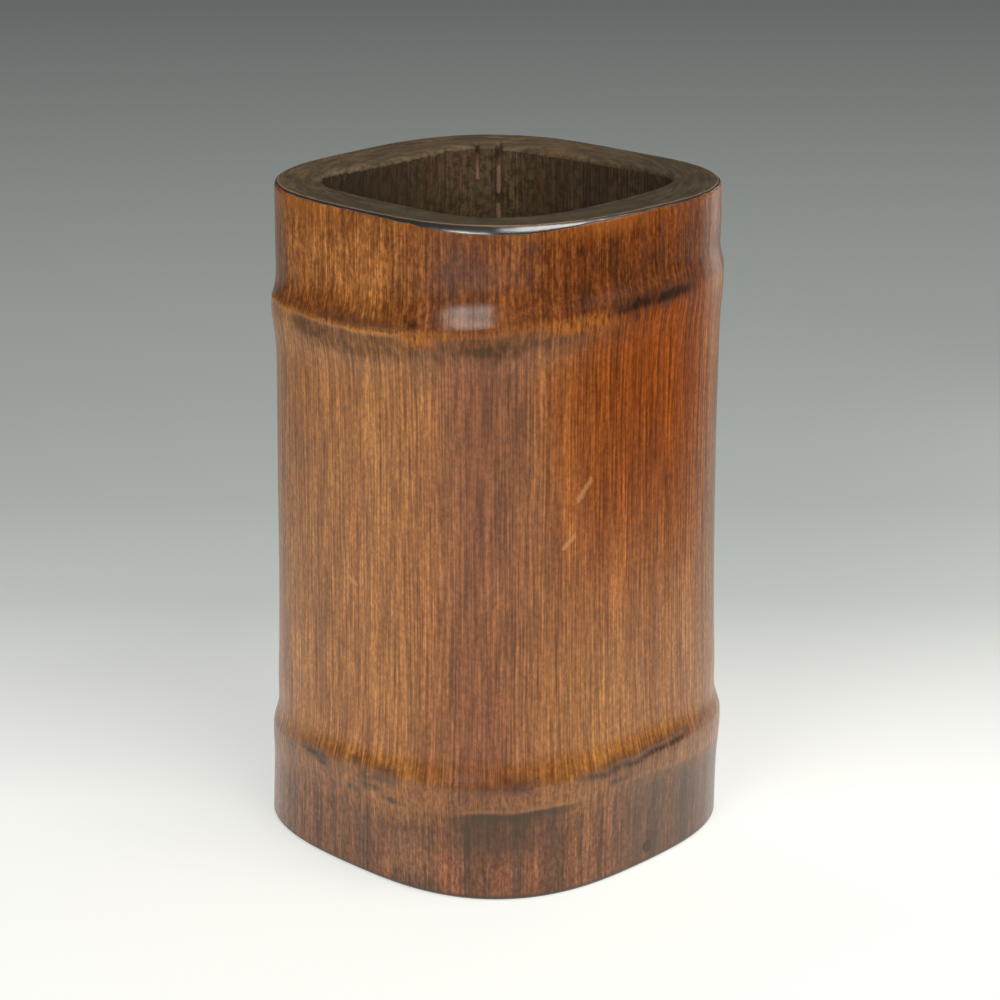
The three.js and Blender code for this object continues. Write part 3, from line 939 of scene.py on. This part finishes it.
# Masks by stretches of degrees, marks by (degrees, height, mm across, mm up), shades with their change first
marks = dict(
    warm=[(-32, 28)], dusk=[(-62, -38)], overRidge=[(-100, -72), (150, 196)], paintedLightBack=[(108, 168)],
    underRim=[(-128, -100), (-24, -6)], speckled=[(-72, -56), (-46, -24), (90, 130)],
    footShade=[(-57, -34), (150, 176)], footGrey=[(-8, 60)], deep=[(-12, 48)],
    lilac=(-54, 143, 4.6, 9),  # by degrees across
    dark=[(-66.5, 132.6, 1.5, 0.8), (-24.5, 148.3, 0.9, 0.8), (-28.2, 141, 0.35, 3), (-99.5, 23.6, 2.6, 0.9),
          (-88, 20.2, 2.6, 1.2), (-114.5, 23.4, 2.6, 0.5), (-104, 24.6, 2.4, 0.6), (-81, 22.4, 3.4, 0.9),
          (-74, 20.6, 3, 0.8), (-12, 24.4, 3.6, 0.8), (-41, 27.6, 1.3, 0.7), (118, 60, 1.2, 0.8),
          (200, 133, 2, 1)],
    faint=[(-13, 129.2, 2.2, 1.2), (-7, 132, 1.5, 1), (-41.5, 9, 0.5, 8), (0.5, 5.2, 3.2, 3),
           (-16, 146.5, 4, 3.2), (-10, 140.5, 3, 4.5), (2, 143.5, 4, 3), (-24, 139, 1.6, 6),
           (-57, 143, 1.2, 7), (-90.4, 4.6, 1.2, 1.4), (-86.5, 28.2, 1.2, 1.6), (-107, 127, 6, 3),
           (-64, 122.5, 3, 5)],
    red=[(-41.5, 28.6, 3.4, 1.6), (-48, 27, 2.4, 1.2), (-76, 27, 4, 1.6), (-37, 150.5, 1.7, 1.4),
         (2.2, 101, 0.5, 6.5), (-87, 27.4, 1.8, 1.2), (160, 90, 0.6, 8)],
    shades=[(0.16, -87, 78, 2.6, 26), (0.2, -63, 72, 2.8, 52), (0.26, -10, 84, 3, 34),
            (-0.12, -42, 105, 6, 22), (-0.1, -110, 105, 8, 22), (-0.16, -31, 143, 11, 11),
            (-0.1, -51, 143, 5, 11), (0.42, -86, 142, 11, 10), (0.3, -110, 142, 9, 11),
            (-0.12, 16, 142, 12, 10), (-0.12, -30, 50, 9, 28), (-0.2, 34, 75, 8, 55), (-0.08, -8, 70, 20, 45),
            (0.9, -66, 8.5, 6.5, 5.5), (-0.12, 10, 84, 3, 26), (0.2, 95, 70, 3, 40), (-0.15, 180, 60, 5, 40),
            (0.18, 215, 90, 3, 30), (-0.12, 130, 100, 5, 30)],
)


def marked(name, soft):
    return along(a, marks[name], soft)


def handMarks(places):
    total = 0
    for degrees, height, across, up in places:
        offside = np.radians(degreesFrom(a, degrees)) * stem["sideRadius"]
        total = total + np.exp(-((offside / across) ** 2 + ((z - height) / up) ** 2) ** 1.5)
    return np.clip(total, 0, 1)


a, z, _ = polar(wall)
degrees, height, across, up = marks["lilac"]
torn = along(a, upperScar["torn"], 10) * (0.35 + 0.65 * along(a, upperScar["golden"], 8))
lowCrease = along(a, lowerScar["creases"], 8) + 0.8 * along(a, lowerScar["dashes"], 5)
dark, faint = handMarks(marks["dark"]), handMarks(marks["faint"])
masks = dict(
    tall=z, aboveUpper=z - lineHeight(a, "upper"), aboveLower=z - lineHeight(a, "lower"),
    aboveLip=z - lineHeight(a, "lip"),
    torn=torn, ridge=along(a, upperScar["ridges"], 8), overRidge=marked("overRidge", 8),
    crease=along(a, upperScar["creases"], 16),
    smudge=along(a, upperScar["smudges"], 14) * (0.75 + 0.4 * bumps(a, z, "smudge")),
    lowCrease=np.clip(lowCrease, 0, 1), lip=np.clip(lips(a, 12), 0, 1),
    warm=marked("warm", 34) * rising(z, 40, 100), deep=marked("deep", 24) * rising(z, 84, 114),
    dusk=marked("dusk", 22), paintedLightBack=marked("paintedLightBack", 50), footShade=marked("footShade", 12),
    footGrey=marked("footGrey", 30), speckled=0.35 + 0.65 * marked("speckled", 12),
    underRim=0.08 + 0.35 * marked("underRim", 24),
    lilac=np.exp(-((degreesFrom(a, degrees) / across) ** 2 + ((z - height) / up) ** 2) ** 2),
    darkMarks=np.maximum(0.85 * dark, 0.45 * faint), redMarks=0.7 * handMarks(marks["red"]),
    shade=1 + sum(change * handMarks([place]) for change, *place in marks["shades"]),
)
flat = footOutline(a)
addLayer(wall, "fibrePlace", np.stack([flat * np.cos(a), flat * np.sin(a), z], 1) * mm)
for name, values in masks.items():
    addLayer(wall, name, values)
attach(wall, "root")
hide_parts("culm_wall")

# Coat of lacquer over the rim, its back inside the wall. Its brush streaks are drawn on a ring
coatForm = dict(
    round=12, top=(0.04, 0.3, 0.6, 0.9), inside=(0, 0.15, 0.3, 0.45, 0.6, 0.8, 1, 1.12),
    uneven=0.05, edgeFrom=0.85, backStep=0.4, backTop=1.2, edgeDrop=0.02, ringRadius=5, sharpFrom=50,
)

edgeRun, back, top = skirtRun(angles), rim["coatBack"], stem["height"] - coatForm["backTop"]
r, z = rimOutside(angles, edgeRun)
rings = [(r - rim["wallUnderCoat"] * 1.5, z - coatForm["edgeDrop"], 0)]
behind = (r - back - coatForm["backStep"], np.minimum(z, top), 0)
for share in np.linspace(1, 0, coatForm["round"]):
    r, z = rimOutside(angles, edgeRun * share)
    rings.append((r + rim["coat"] * (0.5 - 1.5 * rising(share, coatForm["edgeFrom"], 1)), z, 0))
outerR, _ = rimOutside(angles, 0)
innerR, _ = rimInside(angles, 0)
for share in coatForm["top"]:
    z = stem["height"] + coatForm["uneven"] * bumps(angles, share, "coatTop")
    rings.append((outerR + (innerR - outerR) * share, z, 0))
for share in coatForm["inside"]:
    r, z = rimInside(angles, share)
    rings.append((r, z, 0))
rings += [(r + back, z, 0), (r + back, np.minimum(z + coatForm["backStep"], top), 0), behind]

coat = bandMesh("rim_coat", rings)
coat.data.materials.append(rimLacquer)
coat.data.set_sharp_from_angle(angle=radians(coatForm["sharpFrom"]))
a, z, r = polar(coat)
outerR, _ = rimOutside(a, 0)
ring = coatForm["ringRadius"]
addLayer(coat, "ringPlace", np.stack([r, ring * np.cos(a), ring * np.sin(a)], 1) * mm)
addLayer(coat, "roundedEdge", rising(r, outerR, outerR + 0.2))
# Where the painted highlight of the arris goes
addLayer(coat, "arrisHighlight", bell(r, outerR, 0.16, 0.14) * rising(z, stem["height"] - 0.5, stem["height"] - 0.2))
addLayer(coat, "wornTop", along(a, [(100, 172)], 50))
addLayer(coat, "browner", 1.2 * along(a, [(80, 240)], 60))
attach(coat, "root")
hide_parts("rim_lacquer")
print("rim coat:", len(coat.data.polygons), "faces")

for name, material in {"floor_board": floorWood, "floor_peg_1": pegDark, "floor_peg_2": pegBrown,
                       "floor_peg_3": pegDark, "floor_peg_4": pegBrown}.items():
    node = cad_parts[name]
    node.data.materials.clear()
    node.data.materials.append(material)

# Camera at the photo's angle, placed in mm to the right of the stem's middle, away from it and up
view = dict(turn=43.81, pitch=18.30, across=1.15, away=624.5, height=284.2, lens=100.29, sensor=36)
turn = radians(view["turn"])
camera = newObject("camera", bpy.data.cameras.new("camera"))
camera.data.sensor_width = view["sensor"]
camera.data.lens = view["lens"]
right, back = view["across"], -view["away"]
camera.location = ((right * cos(turn) - back * sin(turn) + shiftX) * mm,
                   (right * sin(turn) + back * cos(turn) + shiftY) * mm, view["height"] * mm)
camera.rotation_euler = (radians(90 - view["pitch"]), 0, turn)
scene.camera = camera

# Floor: white paper with painted light, a glow of its own and a painted fall-off into grey behind the pot, by
# mm behind the pot and tone there
paper = dict(
    size=12, glow=0.66,
    tones=[(-60, 0.735), (0, 0.765), (64, 0.635), (141, 0.445), (234, 0.35), (350, 0.314), (965, 0.211),
           (1340, 0.164)],
    nearTint=(0.975, 1, 0.985, 1), farTint=(0.92, 1, 0.975, 1), tintTurn=(60, 220),
    rightEdge=(234, 262), rightEnd=(0, 250), leftEdge=(-620, -450), frontEdge=(-800, -380),
    beyond=(0.025, 0.025, 0.025, 1),
)


def fadeOver(value, stretch, bottom=0, top=1):
    return fade(value, stretch[0] * mm, stretch[1] * mm, bottom, top)


paleFloor, tree, shader = newMaterial("paleFloor", 0.8, specular=0)
turned = addNode(tree, "VectorRotate", {"Vector": objectPlace(tree), "Angle": -turn}, rotation_type="Z_AXIS")
across, away, _ = addNode(tree, "SeparateXYZ", {"Vector": turned}).node.outputs
first, last = paper["tones"][0][0], paper["tones"][-1][0]
share = addNode(tree, "MapRange", {"Value": away, "From Min": first * mm, "From Max": last * mm})
grey = addNode(tree, "ValToRGB", {"Fac": share}, "Color")
stops = grey.node.color_ramp.elements
while len(stops) < len(paper["tones"]):
    stops.new(0.5)
for stop, (distance, level) in zip(stops, paper["tones"]):
    stop.position = (distance - first) / (last - first)
    stop.color = (level, level, level, 1)
right = times(fadeOver(across, paper["rightEdge"]), fadeOver(away, paper["rightEnd"], 1, 0))
left, front = fadeOver(across, paper["leftEdge"], 1, 0), fadeOver(away, paper["frontEdge"], 1, 0)
colour = mixed(most(left, front, right), grey, paper["beyond"])
tint = mixed(fadeOver(away, paper["tintTurn"]), paper["nearTint"], paper["farTint"])
colour = mixed(1, colour, tint, "MULTIPLY")
put(colour, shader.inputs["Base Color"])
put(colour, shader.inputs["Emission Color"])
put(paper["glow"], shader.inputs["Emission Strength"])

bpy.ops.mesh.primitive_plane_add(size=paper["size"], location=(0, 0, 0))
floor = bpy.context.object
floor.name = "floor"
floor.data.materials.append(paleFloor)

# Soft boxes: degrees to the right of the camera, degrees up, metres away, size in metres, watts, rings.
# With more rings, ellipses one inside the other, the reflection has a softer edge
softBoxes = dict(
    left=(-28, 24, 1.1, (0.74, 0.52), 4.1, 5),
    right=(84, 38, 1.2, (0.79, 0.9), 2, 1),
    front=(44, 51, 1.2, (1.1, 0.48), 6.5, 1),
    top=(180, 78, 1.2, (1.13, 1.13), 1.4, 1),
    rightBack=(131, 6, 0.42, (0.24, 0.3), 0.2, 3),
)
warmLight = (1, 0.965, 0.89)
ringStep = 0.002  # metres from one ring to the next

for name, (across, up, away, size, power, rings) in softBoxes.items():
    a, up = radians(across) + turn, radians(up)
    out = Vector((sin(a) * cos(up), -cos(a) * cos(up), sin(up)))
    shares = [1 - k / rings for k in range(rings)]
    for k, share in enumerate(shares):
        light = bpy.data.lights.new(name, "AREA")
        light.shape = "ELLIPSE"
        light.color = warmLight
        light.size, light.size_y = size[0] * share, size[1] * share
        light.energy = power * share ** 2 / sum(other ** 2 for other in shares)
        lamp = newObject(name, light)
        lamp.location = out * (away - ringStep * k) + Vector((0, 0, stem["height"] / 2 * mm))
        lamp.rotation_euler = out.to_track_quat("Z", "Y").to_euler()

world = bpy.data.worlds.new("world")
world.use_nodes = True
put((0.083, 0.085, 0.08, 1), world.node_tree.nodes["Background"].inputs["Color"])
put(1, world.node_tree.nodes["Background"].inputs["Strength"])
scene.world = world
scene.view_settings.view_transform = "Standard"
print("camera, floor and lights")
